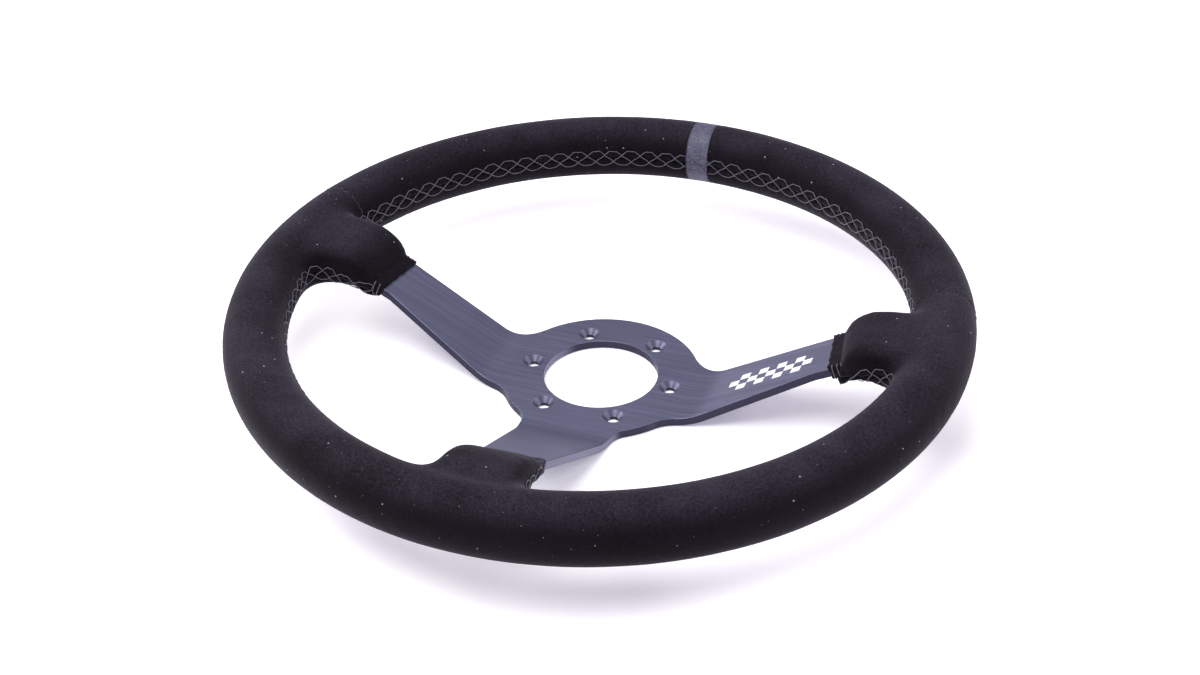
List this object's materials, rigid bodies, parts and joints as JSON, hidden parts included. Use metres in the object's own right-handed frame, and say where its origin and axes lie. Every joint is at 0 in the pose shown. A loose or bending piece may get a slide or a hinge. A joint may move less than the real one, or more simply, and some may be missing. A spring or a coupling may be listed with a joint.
{
  "type": "steering wheel",
  "caption": "Dished racing steering wheel: bent aluminium spoke plate with a bored, drilled hub, and a foam grip laced into a black suede cover with pads over the spokes.",
  "frame": {"origin": "centre of the hub's back face, on the steering axis", "axes": "+Z along the steering axis towards the driver, +Y towards the 12 o'clock marker, +X to the driver's right"},
  "size_m": [0.35, 0.3506, 0.0572],
  "materials": {
    "anodised_aluminium": "black anodised over a brushed grain",
    "raw_aluminium": "mill finish",
    "rivet_steel": "zinc plated",
    "foam": "moulded self-skinning foam",
    "suede": "short-napped black suede",
    "marker_leather": "fine-grained slate leather",
    "thread": "waxed black thread"
  },
  "bodies": {
    "root": {"spoke_plate": "anodised_aluminium", "rim_hoop": "raw_aluminium", "left_spoke_rivets": "rivet_steel", "right_spoke_rivets": "rivet_steel", "bottom_spoke_rivets": "rivet_steel", "foam_grip": "foam", "centre_marker": "marker_leather", "cover_upper_right": "suede", "cover_upper_left": "suede", "cover_lower": "suede", "lacing_upper_right": "thread", "lacing_upper_left": "thread", "lacing_lower_right": "thread", "lacing_lower_left": "thread", "lacing_marker": "thread", "cross_seam_thread_right": "thread", "cross_seam_thread_left": "thread", "marker_thread_right": "thread", "marker_thread_left": "thread", "hem_thread_right": "thread", "hem_thread_left": "thread", "hem_thread_bottom": "thread"}
  },
  "joints": []
}
